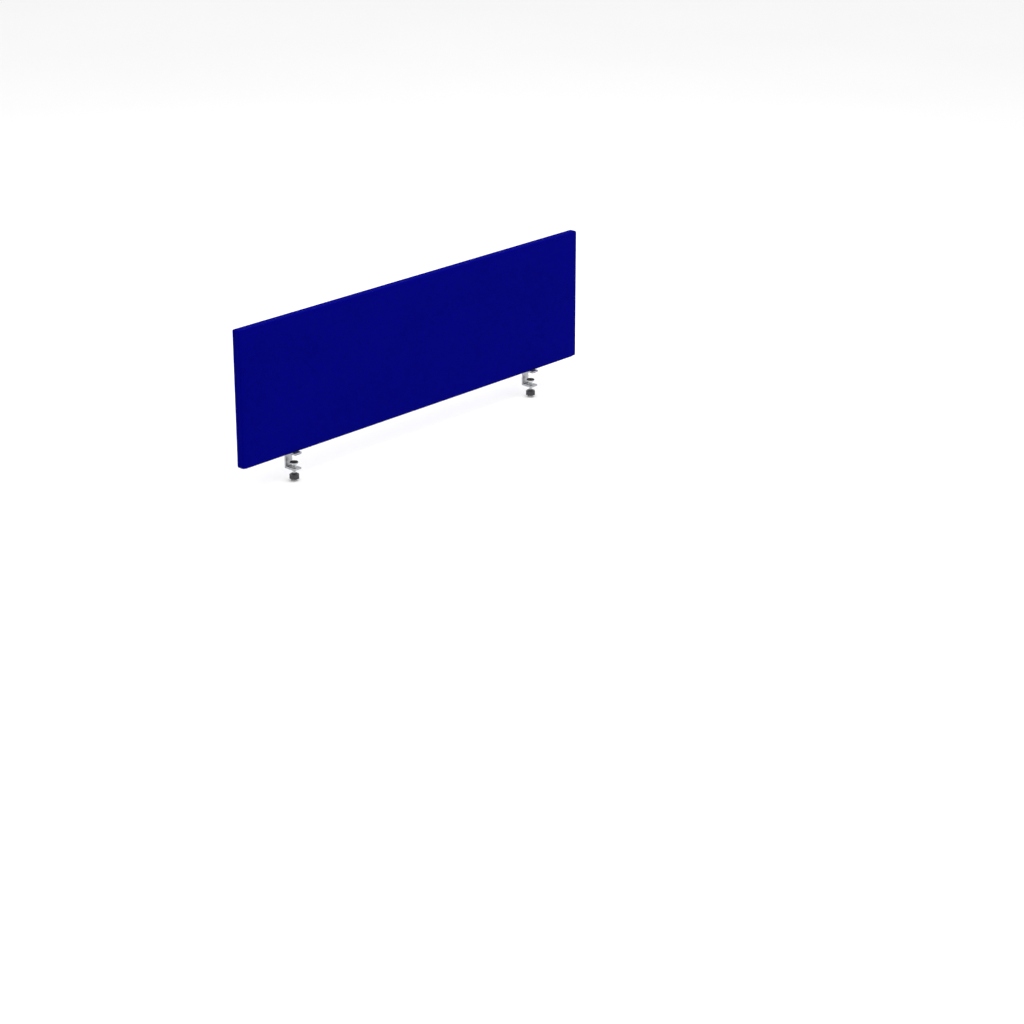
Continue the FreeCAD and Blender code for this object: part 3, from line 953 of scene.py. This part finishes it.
class PANEL_OT_knobs(bpy.types.Operator):
    """Makes the lobed knobs"""

    bl_idname = "privacy_panel.knobs"
    bl_label = "Knobs"

    def execute(self, context):
        settings = context.scene.panel_clamps
        for side in SIDES:
            low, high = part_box(f"clamp_knob_{side}")
            centre = spindle_axis(side)
            radius = (high.x - low.x) / 2
            body_top = high.z - settings.collar_height
            mesh = bmesh.new()
            steps = STEPS_PER_LOBE * settings.knob_lobes
            bmesh.ops.create_circle(mesh, cap_ends=True, radius=1.0, segments=steps)
            for vertex in mesh.verts:
                angle = math.atan2(vertex.co.y, vertex.co.x) + math.pi / 2
                vertex.co = vertex.co.normalized() * fluted_radius(angle, radius, settings)
                vertex.co += Vector((centre.x, centre.y, low.z))
            made = bmesh.ops.extrude_face_region(mesh, geom=mesh.faces[:])
            raised = [part for part in made["geom"] if isinstance(part, bmesh.types.BMVert)]
            bmesh.ops.translate(mesh, vec=UP * (body_top - low.z), verts=raised)
            bmesh.ops.recalc_face_normals(mesh, faces=mesh.faces)
            rims = [e for e in mesh.edges if abs((e.verts[0].co - e.verts[1].co).z) < 0.01 * MM]
            round_edges(mesh, rims, settings.knob_edge, 5, clamp_overlap=True)
            self.sink_underside(mesh, centre, low.z, settings)
            turned(mesh, self.collar(settings, body_top, high.z), centre, 64)
            turned(mesh, self.cap(low.z), centre, 64)
            sharpen(mesh, 40)
            name = f"clamp_knob_{side}"
            finished_piece(f"lobed_knob_{side}", mesh, knob_plastic, f"spindle_{side}", "knob_plastic", name)
        return {"FINISHED"}

    def sink_underside(self, mesh, centre, level, settings):
        """Puts a round dish in the lobed underside."""
        flat = max(mesh.faces, key=lambda f: len(f.verts) * (f.normal.z < -0.9))
        rim = flat.edges[:]
        bmesh.ops.delete(mesh, geom=[flat], context="FACES_ONLY")
        ring = bmesh.ops.create_circle(
            mesh,
            radius=settings.dish_radius,
            segments=STEPS_PER_LOBE * settings.knob_lobes,
            matrix=Matrix.Translation((centre.x, centre.y, level)),
        )["verts"]
        edges = list({edge for vertex in ring for edge in vertex.link_edges})
        bmesh.ops.bridge_loops(mesh, edges=rim + edges)
        made = bmesh.ops.extrude_edge_only(mesh, edges=edges)["geom"]
        raised = [part for part in made if isinstance(part, bmesh.types.BMVert)]
        bmesh.ops.translate(mesh, vec=UP * settings.dish_depth, verts=raised)
        to_axis = Matrix.Translation((-centre.x, -centre.y, 0))
        bmesh.ops.scale(mesh, vec=(0.92, 0.92, 1), space=to_axis, verts=raised)
        bmesh.ops.edgeloop_fill(mesh, edges=[part for part in made if isinstance(part, bmesh.types.BMEdge)])

    def collar(self, settings, bottom, top):
        """The collar's outline, with a soft foot and a broken top edge."""
        radius = settings.collar_radius
        bevel = 0.6 * MM
        turns = [part * math.pi / 8 for part in range(5)]
        foot = [(radius + bevel * (1 - math.sin(t)), bottom + bevel * (1 - math.cos(t))) for t in turns]
        return [(0, bottom - bevel)] + foot + [(radius, top - bevel), (radius - bevel, top), (0, top)]

    def cap(self, bottom):
        """The outline of the round plug in the knob's dished underside."""
        radius = 5.2 * MM
        bevel = 0.4 * MM
        face = bottom + 0.2 * MM
        back = bottom + 1.6 * MM
        return [(0, face), (radius - bevel, face), (radius, face + bevel), (radius, back), (0, back)]


GROOVE_MOUTH = 0.35 * MM  # half the width of a groove at the rubber's surface
GROOVE_FOOT = 0.2 * MM  # half the width of its floor


class PANEL_OT_rubber_pads(bpy.types.Operator):
    """Makes the ribbed rubber pads of the feet and the upper jaws"""

    bl_idname = "privacy_panel.rubber_pads"
    bl_label = "Rubber pads"

    def execute(self, context):
        settings = context.scene.panel_clamps
        for side in SIDES:
            self.foot_pad(side, settings)
            self.jaw_pad(side, settings)
        return {"FINISHED"}

    def foot_pad(self, side, settings):
        """A round pad with ring-shaped ribs on top."""
        low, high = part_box(f"pressure_pad_{side}")
        radius = (high.x - low.x) / 2
        edge = 0.7 * MM
        rings = int((radius - edge) / settings.rib_pitch)
        outline = [(0, low.z), (radius, low.z), (radius, high.z - edge)]
        turns = [part * math.pi / 8 for part in range(1, 5)]
        outline += [(radius - edge * (1 - math.cos(t)), high.z - edge * (1 - math.sin(t))) for t in turns]
        groove_floor = high.z - settings.rib_depth
        for ring in range(rings, 0, -1):
            middle = (ring - 0.35) * settings.rib_pitch
            outline += [(middle + GROOVE_MOUTH, high.z), (middle + GROOVE_FOOT, groove_floor)]
            outline += [(middle - GROOVE_FOOT, groove_floor), (middle - GROOVE_MOUTH, high.z)]
        outline.append((0, high.z))
        mesh = bmesh.new()
        turned(mesh, outline, spindle_axis(side), 64)
        sharpen(mesh)
        name = f"pressure_pad_{side}"
        finished_piece(f"ribbed_foot_pad_{side}", mesh, pad_rubber, f"foot_{side}", "pad_rubber", name)

    def jaw_pad(self, side, settings):
        """A thin pad whose underside has ribs along the worktop's edge."""
        low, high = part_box(f"jaw_pad_{side}")
        mesh = upright_block(low, high)
        upright = [e for e in mesh.edges if abs((e.verts[0].co - e.verts[1].co).z) > 0.1 * MM]
        round_edges(mesh, upright, 1.5 * MM, 4)
        plain_end = 2 * MM
        first = low.y + plain_end
        grooves = int((high.y - low.y - 2 * plain_end) / settings.rib_pitch)
        for groove in range(grooves + 1):
            for shift in (-GROOVE_MOUTH, -GROOVE_FOOT, GROOVE_FOOT, GROOVE_MOUTH):
                bmesh.ops.bisect_plane(
                    mesh,
                    geom=mesh.verts[:] + mesh.edges[:] + mesh.faces[:],
                    dist=0.0001 * MM,
                    plane_co=(0, first + groove * settings.rib_pitch + shift, 0),
                    plane_no=(0, 1, 0),
                )
        half = settings.rib_pitch / 2
        for vertex in mesh.verts:
            part = (vertex.co.y - first + half) % settings.rib_pitch - half
            inside = first - 0.3 * MM < vertex.co.y < high.y - 1.6 * MM
            if vertex.co.z < low.z + 0.1 * MM and inside and abs(part) < 0.25 * MM:
                vertex.co.z += settings.rib_depth
        sharpen(mesh)
        finished_piece(f"ribbed_jaw_pad_{side}", mesh, pad_rubber, "panel", "pad_rubber", f"jaw_pad_{side}")


# The stage


def area_light(name, place_at, aim, size, power):
    """A square light that looks at a point."""
    data = bpy.data.lights.new(name, "AREA")
    data.shape = "SQUARE"
    data.size = size
    data.energy = power
    light = bpy.data.objects.new(name, data)
    light.location = place_at
    light.rotation_euler = (Vector(aim) - Vector(place_at)).to_track_quat("-Z", "Y").to_euler()
    bpy.context.scene.collection.objects.link(light)


class PANEL_OT_stage(bpy.types.Operator):
    """Makes the floor, the lights and the camera"""

    bl_idname = "privacy_panel.stage"
    bl_label = "Stage"

    def execute(self, context):
        scene = context.scene
        settings = scene.panel_stage
        scene.view_settings.view_transform = "Standard"
        mesh = bmesh.new()
        half = settings.floor_size / 2
        bmesh.ops.create_grid(mesh, x_segments=4, y_segments=4, size=half)
        bmesh.ops.translate(mesh, vec=UP * (cad_low.z - settings.floor_gap), verts=mesh.verts)
        data = bpy.data.meshes.new("studio_floor")
        mesh.to_mesh(data)
        mesh.free()
        floor = bpy.data.objects.new("studio_floor", data)
        scene.collection.objects.link(floor)
        coat(floor, studio_floor)

        world = bpy.data.worlds.new("studio")
        world.use_nodes = True
        background = world.node_tree.nodes["Background"]
        background.inputs["Color"].default_value = (1, 1, 1, 1)
        background.inputs["Strength"].default_value = settings.sky
        scene.world = world

        aim = (cad_low + cad_high) / 2
        area_light("overhead_light", (0, -0.3, 3.4), aim, 3.0, settings.overhead)
        area_light("front_light", (1.2, -4.2, 2.4), aim, 2.6, settings.front)
        area_light("side_light", (-4.4, -0.6, 2.2), aim, 2.2, settings.side)

        camera_data = bpy.data.cameras.new("camera")
        camera_data.lens = settings.lens
        camera = bpy.data.objects.new("camera", camera_data)
        camera.location = settings.camera_place
        camera.rotation_euler = (math.pi / 2 - settings.camera_dip, 0, -settings.camera_bearing)
        scene.collection.objects.link(camera)
        scene.camera = camera
        return {"FINISHED"}


class PANEL_PT_sidebar(bpy.types.Panel):
    """Lists the pieces and their settings"""

    bl_idname = "PANEL_PT_sidebar"
    bl_label = "Privacy panel"
    bl_space_type = "VIEW_3D"
    bl_region_type = "UI"
    bl_category = "Privacy panel"

    def draw(self, context):
        layout = self.layout
        for operator in OPERATORS:
            layout.operator(operator.bl_idname)
        for settings in (context.scene.panel_cover, context.scene.panel_clamps, context.scene.panel_stage):
            box = layout.box()
            for name in type(settings).__annotations__:
                box.prop(settings, name)


OPERATORS = (
    PANEL_OT_stage,
    PANEL_OT_cover,
    PANEL_OT_inner_parts,
    PANEL_OT_brackets,
    PANEL_OT_spindles,
    PANEL_OT_knobs,
    PANEL_OT_rubber_pads,
)
CLASSES = (CoverSettings, ClampSettings, StageSettings, *OPERATORS, PANEL_PT_sidebar)


def register():
    """Registers the classes and their settings"""
    for part in CLASSES:
        bpy.utils.register_class(part)
    bpy.types.Scene.panel_cover = bpy.props.PointerProperty(type=CoverSettings)
    bpy.types.Scene.panel_clamps = bpy.props.PointerProperty(type=ClampSettings)
    bpy.types.Scene.panel_stage = bpy.props.PointerProperty(type=StageSettings)


def unregister():
    """Removes the settings and the classes"""
    del bpy.types.Scene.panel_stage
    del bpy.types.Scene.panel_clamps
    del bpy.types.Scene.panel_cover
    for part in reversed(CLASSES):
        bpy.utils.unregister_class(part)


def main():
    """Builds the whole panel"""
    register()
    bpy.ops.privacy_panel.stage()
    bpy.ops.privacy_panel.cover()
    bpy.ops.privacy_panel.inner_parts()
    bpy.ops.privacy_panel.brackets()
    bpy.ops.privacy_panel.spindles()
    bpy.ops.privacy_panel.knobs()
    bpy.ops.privacy_panel.rubber_pads()


if __name__ == "__main__":
    main()
